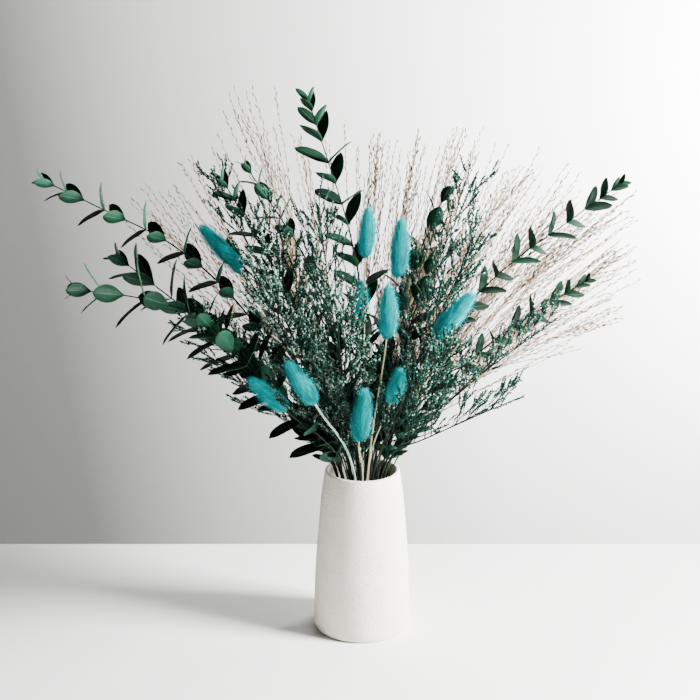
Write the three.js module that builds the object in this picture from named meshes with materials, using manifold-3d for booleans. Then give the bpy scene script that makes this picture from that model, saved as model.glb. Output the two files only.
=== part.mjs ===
// A dried flower arrangement standing in a tapered ceramic vase, in millimetres with +Z up.
// The origin is the centre of the vase's flat underside, and the arrangement faces -Y.
// Four kinds of stem share the vase: preserved eucalyptus, hare's-tail grass, sea lavender and plume grass.

import * as THREE from "three";
import { mergeVertices } from "three/addons/utils/BufferGeometryUtils.js";
import Module from "manifold-3d";

const wasm = await Module();
wasm.setup();
const { Vector2, Vector3 } = THREE;
const DEGREE = Math.PI / 180;
const GOLDEN_TURN = 137.508 * DEGREE;
const AWAY = new Vector3(0, 1, 0);

// ---------------------------------------------------------------- driving dimensions

const VASE = { height: 165, foot: 43.5, belly: 47.8, rim: 36.5, wall: 4, floor: 8, sides: 32 };
const STEMS_REACH = 28.5; // how far from the axis the outermost stem passes the rim
const STEMS_FOOT = 1.15; // the stems' cut ends stand this much wider apart than they pass the rim
const SEAT = 0.3; // a cut end stands this far above the vase's floor
const GAP = 0.4; // the least space left between two separate pieces
const SPANS = 9; // straight spans in a stem

const LEAF = { length: 30, width: 12.5, thick: 1.2, pitch: 21, curl: 0.1 };
const HEAD = { width: 23, socket: 7, socketRadius: 2, sides: 8 };
const SPRAY = { twigs: 4, reach: 78, floret: 3.2, pitch: 7.5 };
const PLUME = { strands: 3, spikelet: 2.2, pitch: 14 };

// Each stem is drawn through the rim, then a point half way, then its tip. A eucalyptus branch is bare for
// some way above the rim, leaf is the size of its leaves as a share of the full size, and askew turns its
// pairs of leaves round it.
const EUCALYPTUS = {
  far_left: { via: [-141, -15, 363], tip: [-296, -20, 456], bare: 100, leaf: 1.0, askew: 9 },
  left_low: { via: [-147, -45, 327], tip: [-262, -60, 362], bare: 110, leaf: 1.25, askew: -9 },
  left_mid: { via: [-129, 0, 291], tip: [-232, 12, 374], bare: 90, leaf: 1.25, askew: 9 },
  top: { via: [-4, -12, 363], tip: [-50, -30, 533], bare: 130, leaf: 1.15, askew: 40 },
  right_high: { via: [100, 0, 331], tip: [243, 10, 447], bare: 130, leaf: 0.95, askew: -36 },
  right_low: { via: [101, -35, 287], tip: [208, -40, 366], bare: 110, leaf: 0.85, askew: -36 },
  upper_left: { via: [-41, 20, 340], tip: [-113, 40, 460], bare: 130, leaf: 0.85, askew: 9 },
  inner_left: { via: [-59, -30, 325], tip: [-131, -20, 459], bare: 110, leaf: 0.9, askew: 30 },
  low_left: { via: [-86, -60, 265], tip: [-146, -80, 341], bare: 25, leaf: 1.25, askew: -9 },
  upper_right: { via: [38, 25, 329], tip: [81, 45, 432], bare: 120, leaf: 1.0, askew: 9 },
  inner_right: { via: [34, 10, 263], tip: [64, 15, 369], bare: 70, leaf: 1.05, askew: 9 },
  back_left: { via: [-52, 90, 258], tip: [-78, 150, 363], bare: 60, leaf: 1.1, askew: 9 },
  back_right: { via: [43, 90, 258], tip: [70, 150, 363], bare: 60, leaf: 1.1, askew: -9 },
};

// A hare's-tail stem runs to the base of its head, and the head from there to its tip.
const HARES_TAILS = {
  top_left: { base: [2, -50, 389], tip: [5, -54, 439] },
  top_right: { base: [31, -45, 368], tip: [35, -48, 428] },
  far_left: { base: [-113, -10, 363], tip: [-153, -14, 413] },
  centre: { base: [21, -85, 321], tip: [22, -92, 377] },
  hidden: { base: [-5, -25, 321], tip: [-1, -26, 362] },
  right: { base: [65, -80, 319], tip: [101, -88, 369] },
  left_front: { base: [-43, -100, 263], tip: [-70, -112, 310] },
  left_low: { base: [-70, -70, 247], tip: [-106, -80, 284] },
  right_low: { base: [25, -88, 261], tip: [35, -98, 298] },
  centre_low: { base: [-4, -95, 225], tip: [2, -110, 284] },
};

// The twigs of an upward spray all grow on its upper side.
const SEA_LAVENDER = {
  top_left: { via: [-74, 5, 314], tip: [-140, -5, 462] },
  upper_left: { via: [-59, -30, 305], tip: [-92, -48, 442] },
  left: { via: [-96, -20, 257], tip: [-158, -32, 323] },
  mid_left: { via: [-55, -70, 283], tip: [-101, -98, 398] },
  centre: { via: [-26, -50, 321], tip: [-41, -60, 441] },
  front: { via: [-17, -80, 267], tip: [-25, -125, 370] },
  right_high: { via: [50, 10, 313], tip: [108, 20, 455] },
  right: { via: [58, -35, 302], tip: [108, -52, 414] },
  right_front: { via: [39, -70, 244], tip: [79, -112, 320] },
  low_right_long: { via: [91, -50, 260], tip: [176, -75, 339], upward: true },
  low_right: { via: [71, -85, 232], tip: [144, -122, 280], upward: true },
  back_left: { via: [-62, 70, 275], tip: [-87, 120, 365] },
  back_right: { via: [53, 70, 265], tip: [58, 120, 354] },
};

const PLUMES = {
  a: { via: [-119, 45, 303], tip: [-211, 70, 425] },
  b: { via: [-95, 55, 310], tip: [-168, 90, 452] },
  c: { via: [-61, 50, 342], tip: [-112, 80, 521] },
  d: { via: [-37, 65, 328], tip: [-61, 110, 473] },
  e: { via: [6, 70, 326], tip: [16, 120, 473] },
  f: { via: [27, 60, 329], tip: [56, 100, 473] },
  g: { via: [49, 55, 331], tip: [98, 90, 482] },
  h: { via: [76, 60, 314], tip: [159, 100, 445] },
  i: { via: [101, 55, 300], tip: [212, 90, 418] },
  j: { via: [120, 45, 298], tip: [260, 70, 421] },
  k: { via: [125, 35, 275], tip: [263, 60, 369] },
  l: { via: [119, 20, 254], tip: [250, 40, 316] },
};

// ---------------------------------------------------------------- materials

const finish = (color, roughness) => new THREE.MeshStandardMaterial({ color, roughness, metalness: 0 });
const MATERIALS = {
  ceramic: finish(0xe9e6df, 0.75),
  eucalyptus: finish(0x1f4d3a, 0.6),
  fluff: finish(0x1fb3bd, 0.95),
  straw: finish(0xc9c3a0, 0.7),
  lavender: finish(0x3f7f74, 0.8),
  plume: finish(0xcbb3a2, 0.85),
};

// ---------------------------------------------------------------- lines that stems follow

const CHORD = 2; // a line's direction is read this far either side of a place on it

// A smooth line through its points, drawn in equal straight spans and measured along its length.
class Line {
  constructor(points, spans, reference = AWAY) {
    this.knots = new THREE.CatmullRomCurve3(points, false, "catmullrom").getSpacedPoints(spans);
    this.marks = [0];
    for (let i = 1; i <= spans; i++) this.marks.push(this.marks[i - 1] + this.knots[i].distanceTo(this.knots[i - 1]));
    this.length = this.marks.at(-1);
    this.reference = reference;
  }

  point(s) {
    const place = Math.min(Math.max(s, 0), this.length);
    const i = Math.max(1, this.marks.findIndex((mark) => mark >= place));
    const share = (place - this.marks[i - 1]) / (this.marks[i] - this.marks[i - 1]);
    return this.knots[i - 1].clone().lerp(this.knots[i], share);
  }

  // Where the line is at s, the way it runs, and two directions square to that.
  frame(s) {
    const along = this.point(s + CHORD).sub(this.point(s - CHORD)).normalize();
    const side = along.clone().cross(this.reference).normalize();
    const face = side.clone().cross(along);
    return { origin: this.point(s), along, side, face };
  }
}

const combine = (...terms) => {
  const sum = new Vector3();
  for (const [vector, share] of terms) sum.addScaledVector(vector, share);
  return sum;
};

// A repeatable share from 0 to 1 for the nth draw of a stem.
const draw = (seed, n) => {
  const wave = Math.sin(seed * 12.9898 + n * 78.233) * 43758.5453;
  return wave - Math.floor(wave);
};

// The direction square to a line that is turned round it by roll.
const outward = (frame, roll) => combine([frame.side, Math.cos(roll)], [frame.face, Math.sin(roll)]);

// ---------------------------------------------------------------- solids

function solidOf(geometry) {
  const bare = new THREE.BufferGeometry();
  bare.setAttribute("position", geometry.getAttribute("position"));
  bare.setIndex(geometry.index);
  const merged = mergeVertices(bare, 1e-4);
  const corners = [];
  for (let i = 0; i < merged.index.count; i += 3) {
    const [a, b, c] = [0, 1, 2].map((k) => merged.index.getX(i + k));
    if (a !== b && b !== c && a !== c) corners.push(a, b, c);
  }
  return new wasm.Manifold(
    new wasm.Mesh({
      numProp: 3,
      vertProperties: new Float32Array(merged.attributes.position.array),
      triVerts: new Uint32Array(corners),
    }),
  );
}

function geometryOf(solid) {
  const { vertProperties, triVerts } = solid.getMesh();
  const geometry = new THREE.BufferGeometry();
  geometry.setAttribute("position", new THREE.BufferAttribute(vertProperties, 3));
  geometry.setIndex(new THREE.BufferAttribute(triVerts, 1));
  geometry.computeVertexNormals();
  return geometry;
}

// Moves every vertex of a geometry to place(x, y, z, index).
function reshape(geometry, place) {
  const spot = geometry.getAttribute("position");
  for (let i = 0; i < spot.count; i++) {
    const p = place(spot.getX(i), spot.getY(i), spot.getZ(i), i);
    spot.setXYZ(i, p.x, p.y, p.z);
  }
  return geometry;
}

// A turned rod bent along a line from its start. rings holds [place, radius] pairs, and lift pushes single
// corners out: it gives how far a corner of a ring stands out, and how far it leans forward.
function rod(line, rings, sides, lift = () => [0, 0]) {
  const profile = [[0, 0], ...rings, [rings.at(-1)[0], 0]].map(([s, r]) => new Vector2(r, s));
  const turned = new THREE.LatheGeometry(profile, sides);
  return solidOf(
    reshape(turned, (x, y, z, index) => {
      const ring = (index % profile.length) - 1;
      const radius = Math.hypot(x, z);
      const [out, forward] = radius > 0 ? lift(ring, Math.floor(index / profile.length) % sides) : [0, 0];
      const { origin, along, side, face } = line.frame(y);
      const grow = radius > 0 ? (radius + out) / radius : 0;
      return origin.add(combine([side, x * grow], [face, z * grow], [along, forward]));
    }),
  );
}

// Rings at every knot of a line up to an end, and at the end, thinning from thick to thin.
function stemRings(line, end, thick, thin) {
  const places = [...line.marks.filter((mark) => mark < end - 1), end];
  return places.map((s) => [s, thick + ((thin - thick) * s) / end]);
}

// ---------------------------------------------------------------- keeping pieces clear of each other

const placed = []; // every solid so far, with the piece that it belongs to
const pieces = new Map(); // piece name to its solids and material

function keep(name, material, solid) {
  if (!pieces.has(name)) pieces.set(name, { material, solids: [] });
  pieces.get(name).solids.push(solid);
  placed.push({ name, solid, box: solid.boundingBox() });
}

function isClear(name, solid) {
  const box = solid.boundingBox();
  return placed.every((other) => {
    if (other.name === name) return true;
    const apart = [0, 1, 2].some(
      (k) => other.box.min[k] - GAP > box.max[k] || box.min[k] - GAP > other.box.max[k],
    );
    return apart || solid.minGap(other.solid, GAP) >= GAP;
  });
}

// Turns and shrinks that are tried in order, until the piece is clear of all others.
const TRIES = [
  [0, 1],
  [24, 1],
  [-24, 1],
  [48, 0.9],
  [-48, 0.9],
  [0, 0.75],
  [75, 0.75],
  [-75, 0.75],
  [0, 0.55],
  [120, 0.55],
];

function keepFirstClear(name, material, build) {
  for (const [turn, shrink] of TRIES) {
    const solid = build(turn * DEGREE, shrink);
    if (isClear(name, solid)) {
      keep(name, material, solid);
      return true;
    }
  }
  return false;
}

// ---------------------------------------------------------------- the vase

function vase() {
  const { height, foot, belly, rim, wall, floor, sides } = VASE;
  const lip = wall / 2;
  const outside = new THREE.SplineCurve([
    new Vector2(belly, 9),
    new Vector2(46.7, 50),
    new Vector2(43.6, 98),
    new Vector2(39.8, 142),
    new Vector2(rim, height - lip),
  ]).getPoints(4);
  const corner = new THREE.QuadraticBezierCurve(new Vector2(foot, 0), new Vector2(belly, 0.5), outside[0]);
  const edge = new THREE.EllipseCurve(rim - lip, height - lip, lip, lip, 0, Math.PI).getPoints(3);
  const inside = outside.slice(1, -1).map((p) => new Vector2(p.x - wall, p.y));
  const profile = [
    new Vector2(0, 0),
    ...corner.getPoints(2).slice(0, -1),
    ...outside.slice(0, -1),
    ...edge,
    ...inside.reverse(),
    new Vector2(belly - 2 * wall, floor),
    new Vector2(0, floor),
  ];
  keep("vase", MATERIALS.ceramic, solidOf(new THREE.LatheGeometry(profile, sides).rotateX(Math.PI / 2)));
}

// ---------------------------------------------------------------- where the stems pass the rim

// Each stem would pass the rim on the side that it leans to. The places there lie on a sunflower spiral,
// and two stems swap theirs as long as that brings the pair nearer to where they would pass.
function shareOutMouth(stems) {
  stems.forEach((stem, i) => {
    const radius = STEMS_REACH * Math.sqrt((i + 0.5) / stems.length);
    stem.mouth = new Vector2(Math.cos(i * GOLDEN_TURN), Math.sin(i * GOLDEN_TURN)).multiplyScalar(radius);
    const [x, y, z] = stem.points[0];
    stem.wish = new Vector2(x, y).multiplyScalar(STEMS_REACH / (z - VASE.height)).clampLength(0, STEMS_REACH);
  });
  const miss = (stem, mouth) => stem.wish.distanceToSquared(mouth);
  for (let swapped = true; swapped; ) {
    swapped = false;
    for (const a of stems)
      for (const b of stems)
        if (miss(a, b.mouth) + miss(b, a.mouth) < miss(a, a.mouth) + miss(b, b.mouth) - 1e-6) {
          [a.mouth, b.mouth] = [b.mouth, a.mouth];
          swapped = true;
        }
  }
}

function stemLine({ mouth, points }) {
  const foot = new Vector3(mouth.x * STEMS_FOOT, mouth.y * STEMS_FOOT, VASE.floor + SEAT);
  const neck = new Vector3(mouth.x, mouth.y, VASE.height);
  return new Line([foot, neck, ...points.map((p) => new Vector3(...p))], SPANS);
}

const stems = [];
for (const [kind, list] of Object.entries({ EUCALYPTUS, HARES_TAILS, SEA_LAVENDER, PLUMES }))
  for (const [place, { via, base, tip, ...habit }] of Object.entries(list))
    stems.push({ kind, place, points: [via ?? base, tip], seed: stems.length + 1, ...habit });
shareOutMouth(stems);
for (const stem of stems) {
  stem.line = stemLine(stem);
  stem.above = stem.line.length - (VASE.height - VASE.floor);
}
const ofKind = (kind) => stems.filter((stem) => stem.kind === kind);

// ---------------------------------------------------------------- eucalyptus

// A flat pointed leaf: a sphere's equator drawn out to the leaf's edge, its poles the two faces.
function leaf(frame, roll, spread, length) {
  const out = outward(frame, roll);
  const axis = combine([frame.along, Math.cos(spread)], [out, Math.sin(spread)]);
  const normal = combine([frame.along, Math.sin(spread)], [out, -Math.cos(spread)]);
  const across = axis.clone().cross(normal);
  const width = (LEAF.width * length) / LEAF.length;
  return solidOf(
    reshape(new THREE.SphereGeometry(1, 6, 2), (x, y, z) => {
      const share = (x + 1) / 2;
      const wide = (z * width) / (2 * Math.sin(60 * DEGREE));
      const high = (y * LEAF.thick) / 2 - LEAF.curl * length * share * share;
      return frame.origin.clone().add(combine([axis, share * length], [across, wide], [normal, high]));
    }),
  );
}

const PAIR = {
  first: 9,
  growth: 4,
  small: 0.5,
  bigger: 0.16,
  spread: 30,
  opening: 6,
  widest: 60,
  closer: 0.65,
  loose: 20,
  all: 8,
};

// Opposite pairs of leaves down from the tip, each pair a quarter turn from the last, and every second pair
// held closer to the stem. The pairs nearest the tip are all there, and every second one below them.
function eucalyptus({ place, line, above, bare, leaf: full, askew, seed }) {
  const name = `eucalyptus_${place}`;
  let down = 4;
  for (let pair = 0; down < above - bare; pair++) {
    const opened = Math.min(PAIR.widest, PAIR.spread + PAIR.opening * pair) * DEGREE;
    const spread = opened * (pair % 2 ? PAIR.closer : 1);
    const size = Math.min(1, PAIR.small + PAIR.bigger * pair) * full * LEAF.length;
    const quarter = ((pair % 2) * 90 + askew + PAIR.loose * (draw(seed, pair) - 0.5)) * DEGREE;
    const frame = line.frame(line.length - down);
    const halves = pair < PAIR.all || pair % 2 === 0 ? [0, 1] : [];
    for (const half of halves) {
      const length = size * (0.88 + 0.24 * draw(seed, 50 + 2 * pair + half));
      keepFirstClear(name, MATERIALS.eucalyptus, (turn, shrink) =>
        leaf(frame, quarter + half * Math.PI + turn, spread, length * shrink),
      );
    }
    down += Math.min(LEAF.pitch, PAIR.first + PAIR.growth * pair);
  }
}

// ---------------------------------------------------------------- hare's tails

const STEM_END = 0.6; // how far a stem stops short of the end of its head's socket
const TUFT = { out: 2.3, forward: 3 };

const headLength = ({ points: [base, tip] }) => new Vector3(...base).distanceTo(new Vector3(...tip));

// A soft egg-shaped head with a socket for its stem, its surface raised in tufts that lean to the tip.
function haresTail(stem) {
  const { socket, socketRadius, sides } = HEAD;
  const length = headLength(stem);
  const base = stem.line.length - length;
  const width = HEAD.width * Math.min(1, 0.55 + length / 130);
  const shape = [0.02, 0.14, 0.3, 0.48, 0.66, 0.83, 0.95].map((share) => {
    const radius = 0.43 * width * Math.sqrt(Math.sin(Math.PI * share ** 0.8));
    return new Vector2(radius, share * length);
  });
  const profile = [
    new Vector2(0, socket),
    new Vector2(socketRadius, socket),
    new Vector2(socketRadius, 0),
    ...shape,
    new Vector2(0, length),
  ];
  const solid = solidOf(
    reshape(new THREE.LatheGeometry(profile, sides), (x, y, z, index) => {
      const ring = (index % profile.length) - 3;
      const corner = Math.floor(index / profile.length) % sides;
      const raised = ring > 0 && ring < shape.length && (ring + corner) % 2 === 0;
      const grow = raised ? 1 + TUFT.out / Math.hypot(x, z) : 1;
      const { origin, along, side, face } = stem.line.frame(base + y);
      return origin.add(combine([side, x * grow], [face, z * grow], [along, raised ? TUFT.forward : 0]));
    }),
  );
  keep(`hares_tail_${stem.place}`, MATERIALS.fluff, solid);
}

// ---------------------------------------------------------------- side shoots

const ROOT = 3.5; // a shoot widens over this length from a point on its stem's axis

// A shoot that leaves its stem sideways and turns a little towards it, with one corner of each ring
// drawn out as a floret or a spikelet.
function shoot(frame, { roll, spread, length, spans, bare, pitch, bud }) {
  const out = outward(frame, roll);
  const reach = (angle, far) =>
    frame.origin.clone().add(combine([frame.along, Math.cos(angle) * far], [out, Math.sin(angle) * far]));
  const line = new Line([frame.origin, reach(spread, length / 2), reach(0.8 * spread, length)], spans, out);
  const rings = [[ROOT, 0.75]];
  for (let s = length * bare; s < length - pitch / 2; s += pitch) rings.push([s, 0.65]);
  rings.push([line.length, 0.5]);
  return rod(line, rings, 3, budsOn(rings, 1, bud));
}

// One corner in three stands out on every ring from the first given to the last but one.
const budsOn = (rings, first, bud) => (ring, corner) =>
  ring >= first && ring < rings.length - 1 && (ring + corner) % 3 === 0 ? bud : [0, 0];

// ---------------------------------------------------------------- sea lavender

function seaLavender({ place, line, above, upward, seed }) {
  const name = `sea_lavender_${place}`;
  for (let i = 0; i < SPRAY.twigs; i++) {
    const share = 0.32 + (0.5 * i) / (SPRAY.twigs - 1);
    const length = SPRAY.reach * (1.05 - 0.6 * share) * (0.85 + 0.3 * draw(seed, 20 + i));
    const frame = line.frame(line.length - above * (1 - share));
    let roll = i * GOLDEN_TURN + draw(seed, i) * 40 * DEGREE;
    if (upward && outward(frame, roll).z < 0) roll += Math.PI;
    keepFirstClear(name, MATERIALS.lavender, (turn, shrink) =>
      shoot(frame, {
        roll: roll + turn,
        spread: 42 * DEGREE,
        length: length * shrink,
        spans: 4,
        bare: 0.35,
        pitch: SPRAY.pitch,
        bud: [SPRAY.floret, 1.6],
      }),
    );
  }
}

// ---------------------------------------------------------------- plume grass

function plumeGrass({ place, line, above, seed }) {
  const name = `plume_grass_${place}`;
  for (let i = 0; i < PLUME.strands; i++) {
    const share = 0.36 + (0.36 * i) / (PLUME.strands - 1);
    const roll = i * GOLDEN_TURN + draw(seed, i) * 40 * DEGREE;
    const length = above * (1.0 - share) * (0.9 + 0.2 * draw(seed, 20 + i));
    const frame = line.frame(line.length - above * (1 - share));
    keepFirstClear(name, MATERIALS.plume, (turn, shrink) =>
      shoot(frame, {
        roll: roll + turn,
        spread: 13 * DEGREE,
        length: length * shrink,
        spans: 3,
        bare: 0.35,
        pitch: PLUME.pitch,
        bud: [PLUME.spikelet, 4],
      }),
    );
  }
}

// ---------------------------------------------------------------- putting it together

const STALKS = {
  EUCALYPTUS: { prefix: "eucalyptus", material: MATERIALS.eucalyptus, thick: 1.5, thin: 0.8 },
  HARES_TAILS: { prefix: "hares_tail_stem", material: MATERIALS.straw, thick: 1, thin: 0.9 },
  SEA_LAVENDER: { prefix: "sea_lavender", material: MATERIALS.lavender, thick: 1.4, thin: 0.8 },
  PLUMES: { prefix: "plume_grass", material: MATERIALS.plume, thick: 1.1, thin: 0.6 },
};

function stalk(stem) {
  const { prefix, material, thick, thin } = STALKS[stem.kind];
  const headless = stem.kind === "HARES_TAILS" ? headLength(stem) - HEAD.socket + STEM_END : 0;
  const rings = stemRings(stem.line, stem.line.length - headless, thick, thin);
  keep(`${prefix}_${stem.place}`, material, rod(stem.line, rings, 3));
}

vase();
stems.forEach(stalk);
ofKind("HARES_TAILS").forEach(haresTail);
ofKind("EUCALYPTUS").forEach(eucalyptus);
ofKind("SEA_LAVENDER").forEach(seaLavender);
ofKind("PLUMES").forEach(plumeGrass);

const arrangement = new THREE.Group();
for (const [name, { material, solids }] of pieces) {
  const mesh = new THREE.Mesh(geometryOf(wasm.Manifold.union(solids)), material);
  mesh.name = name;
  arrangement.add(mesh);
}

export default arrangement;
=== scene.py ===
import math

import bpy
import numpy as np
from mathutils import Matrix, Vector


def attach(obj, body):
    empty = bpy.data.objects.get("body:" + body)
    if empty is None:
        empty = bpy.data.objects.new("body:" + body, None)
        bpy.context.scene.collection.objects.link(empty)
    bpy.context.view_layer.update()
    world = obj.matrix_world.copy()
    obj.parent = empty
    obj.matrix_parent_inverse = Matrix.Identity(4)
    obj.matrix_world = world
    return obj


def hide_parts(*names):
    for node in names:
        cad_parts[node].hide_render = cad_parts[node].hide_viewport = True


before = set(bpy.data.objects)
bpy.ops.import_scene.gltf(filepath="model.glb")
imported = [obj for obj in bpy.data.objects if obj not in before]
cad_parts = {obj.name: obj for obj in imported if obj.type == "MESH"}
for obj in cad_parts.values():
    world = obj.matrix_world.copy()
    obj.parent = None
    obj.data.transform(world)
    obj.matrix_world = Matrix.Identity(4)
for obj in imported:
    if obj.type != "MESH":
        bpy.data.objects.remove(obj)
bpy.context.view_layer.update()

# ---------------------------------------------------------------- camera, table and light
# The arrangement is seen from a little above, on a pale table whose far edge shows against a pale wall.
# Soft light comes from a window on the right, a second lamp lights the wall, and the room fills in the rest.

EYE = (-0.012, -1.7791, 0.8299)
LOOKS_DOWN = math.radians(17)
LENS = 100
SENSOR_WIDTH = 36
TABLE_EDGE = 0.205  # the table ends this far behind the vase
TABLE_SIZE = (3.4, 2.2)
WALL_BEHIND = 1.25
WALL_SIZE = (4.6, 3.4)
WALL_MIDDLE = 0.6  # how far above the table the middle of the wall is
SHEET_BLUE = 0.985  # a sheet's blue as a share of its red and green
ROOM_COLOUR = (0.83, 0.85, 0.87, 1)

camera = bpy.data.objects.new("camera", bpy.data.cameras.new("camera"))
bpy.context.scene.collection.objects.link(camera)
camera.location = EYE
camera.rotation_euler = (math.pi / 2 - LOOKS_DOWN, 0, 0)
camera.data.lens = LENS
camera.data.sensor_width = SENSOR_WIDTH
bpy.context.scene.camera = camera


def add(tree, kind, **values):
    """A shader node, its settings and its sockets set by name."""
    node = tree.nodes.new(kind)
    for name, value in values.items():
        if hasattr(node, name):
            setattr(node, name, value)
        else:
            node.inputs[name.replace("_", " ")].default_value = value
    return node


def calculate(tree, operation, *values):
    """The result of a calculation on numbers and on other nodes' outputs."""
    node = add(tree, "ShaderNodeMath", operation=operation)
    for socket, value in zip(node.inputs, values):
        if isinstance(value, float):
            socket.default_value = value
        else:
            tree.links.new(value, socket)
    return node.outputs["Value"]


def new_material(name, roughness):
    material = bpy.data.materials.new(name)
    material.use_nodes = True
    tree = material.node_tree
    shader = tree.nodes["Principled BSDF"]
    shader.inputs["Roughness"].default_value = roughness
    return material, tree, shader


def rise(tree, shader, height, distance):
    """Feeds a height to the shader as a bump."""
    bump = add(tree, "ShaderNodeBump", Strength=1.0, Distance=distance)
    tree.links.new(height, bump.inputs["Height"])
    tree.links.new(bump.outputs["Normal"], shader.inputs["Normal"])


def ramp(tree, factor, *stops):
    """A colour ramp with (place, colour) stops, driven by a value."""
    node = tree.nodes.new("ShaderNodeValToRGB")
    elements = node.color_ramp.elements
    while len(elements) < len(stops):
        elements.new(0.5)
    for element, (place, colour) in zip(elements, stops):
        element.position = place
        element.color = (*colour, 1)
    tree.links.new(factor, node.inputs["Fac"])
    return node.outputs["Color"]


def flat_sheet(name, size, place, turn=0.0):
    """A finely woven sheet for the stage, tilted up from lying flat by a turn."""
    bpy.ops.mesh.primitive_plane_add(size=1)
    sheet = bpy.context.active_object
    sheet.name = name
    tilted = Matrix.Translation(place) @ Matrix.Rotation(turn, 4, "X")
    sheet.data.transform(tilted @ Matrix.Diagonal((*size, 1, 1)))
    material, tree, shader = new_material(name, 0.9)
    weave = add(tree, "ShaderNodeTexNoise", Scale=900.0, Detail=2.0)
    tree.links.new(tree.nodes.new("ShaderNodeTexCoord").outputs["Object"], weave.inputs["Vector"])
    rise(tree, shader, weave.outputs["Fac"], 0.0002)
    sheet.data.materials.append(material)
    return material


def paint_light_on_sheet(material, direction, *stops):
    """Paints light and shade onto a sheet as colour: paler along a direction, with (place, grey) stops."""
    tree = material.node_tree
    towards = add(tree, "ShaderNodeVectorMath", operation="DOT_PRODUCT")
    towards.inputs[1].default_value = direction
    tree.links.new(tree.nodes["Texture Coordinate"].outputs["Object"], towards.inputs[0])
    place = calculate(tree, "ADD", towards.outputs["Value"], 0.5)
    painted_light = ramp(tree, place, *((at, (grey, grey, SHEET_BLUE * grey)) for at, grey in stops))
    tree.links.new(painted_light, tree.nodes["Principled BSDF"].inputs["Base Color"])
    return tree


# Both sheets are painted paler to the right, where the window is, and darker to the left: painted light and
# painted shade on top of the lamps' own light. The wall shows only from its front, so that it never stands
# between a view and the arrangement.
cloth = flat_sheet("table", TABLE_SIZE, (0, TABLE_EDGE - TABLE_SIZE[1] / 2, 0))
# painted shade on the table's left and back, where the bouquet's shadow falls, and painted light on its right
paint_light_on_sheet(cloth, (0.9, -0.6, 0.0), (0.05, 0.55), (0.2, 0.76), (0.45, 0.88), (1.0, 0.9))
wall_paint = flat_sheet("wall", WALL_SIZE, (0, WALL_BEHIND, WALL_MIDDLE), math.pi / 2)
# painted light on the wall's right and painted shade on its lower left
wall_tree = paint_light_on_sheet(wall_paint, (1.0, 0.0, 0.15), (0.0, 0.15), (0.25, 0.42), (0.7, 0.84), (1.0, 0.86))
see_through = wall_tree.nodes.new("ShaderNodeBsdfTransparent")
one_sided = wall_tree.nodes.new("ShaderNodeMixShader")
side_seen = wall_tree.nodes.new("ShaderNodeNewGeometry")
wall_tree.links.new(side_seen.outputs["Backfacing"], one_sided.inputs["Fac"])
wall_tree.links.new(wall_tree.nodes["Principled BSDF"].outputs["BSDF"], one_sided.inputs[1])
wall_tree.links.new(see_through.outputs["BSDF"], one_sided.inputs[2])
wall_tree.links.new(one_sided.outputs["Shader"], wall_tree.nodes["Material Output"].inputs["Surface"])

MIDDLE = Vector((0, 0, 0.25))


def lamp(name, place, width, watts, colour, aim=MIDDLE):
    light = bpy.data.lights.new(name, "AREA")
    light.size = width
    light.energy = watts
    light.color = colour
    holder = bpy.data.objects.new(name, light)
    holder.location = place
    holder.rotation_euler = (aim - Vector(place)).to_track_quat("-Z", "Y").to_euler()
    holder.visible_camera = False
    bpy.context.scene.collection.objects.link(holder)


lamp("window", (1.25, -0.42, 0.85), 0.5, 200, (1.0, 0.995, 0.98), Vector((0, -0.3, 0.15)))
lamp("room", (-1.6, -1.8, 2.2), 2.4, 0.8, (0.95, 0.98, 1.0))
lamp("wall_wash", (1.0, 0.95, 0.4), 0.6, 105, (1.0, 1.0, 1.0), Vector((0.65, WALL_BEHIND, 0.3)))

# The camera sees the room pale, and the room gives little light.
world = bpy.data.worlds.new("room")
world.use_nodes = True
tree = world.node_tree
room_light = tree.nodes["Background"]
room_light.inputs["Color"].default_value = ROOM_COLOUR
room_light.inputs["Strength"].default_value = 0.03
room_seen = add(tree, "ShaderNodeBackground", Color=ROOM_COLOUR, Strength=0.7)
seen_or_light = tree.nodes.new("ShaderNodeMixShader")
light_path = tree.nodes.new("ShaderNodeLightPath")
tree.links.new(light_path.outputs["Is Camera Ray"], seen_or_light.inputs["Fac"])
tree.links.new(room_light.outputs["Background"], seen_or_light.inputs[1])
tree.links.new(room_seen.outputs["Background"], seen_or_light.inputs[2])
tree.links.new(seen_or_light.outputs["Shader"], tree.nodes["World Output"].inputs["Surface"])
bpy.context.scene.world = world

# ---------------------------------------------------------------- the vase
# One thrown stoneware piece with a soft shoulder and no glaze: a matt, warm white skin with a fine grain.
# Its outline is spun round the axis. It stands on a plain flat underside.

VASE_HEIGHT = 0.165
VASE_WALL = 0.004
VASE_FLOOR = 0.008
VASE_FLOOR_RADIUS = 0.037  # where the floor begins to round up into the wall
VASE_OUTLINE = [  # radius and height up the outside
    (0.0435, 0.0),
    (0.0462, 0.0012),
    (0.0476, 0.0045),
    (0.0478, 0.009),
    (0.04735, 0.03),
    (0.0467, 0.05),
    (0.0453, 0.075),
    (0.0436, 0.098),
    (0.0418, 0.12),
    (0.0398, 0.142),
    (0.0374, 0.158),
    (0.0365, 0.1625),
]
VASE_STEPS = 96
LIP_STEPS = 8
LIP_START = 0.3  # the angle at which the lip's rounding leaves the outside, in radians


def deselect_all():
    if bpy.context.object and bpy.context.object.mode != "OBJECT":
        bpy.ops.object.mode_set(mode="OBJECT")
    bpy.ops.object.select_all(action="DESELECT")


def make_active(piece):
    deselect_all()
    piece.select_set(True)
    bpy.context.view_layer.objects.active = piece


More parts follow.
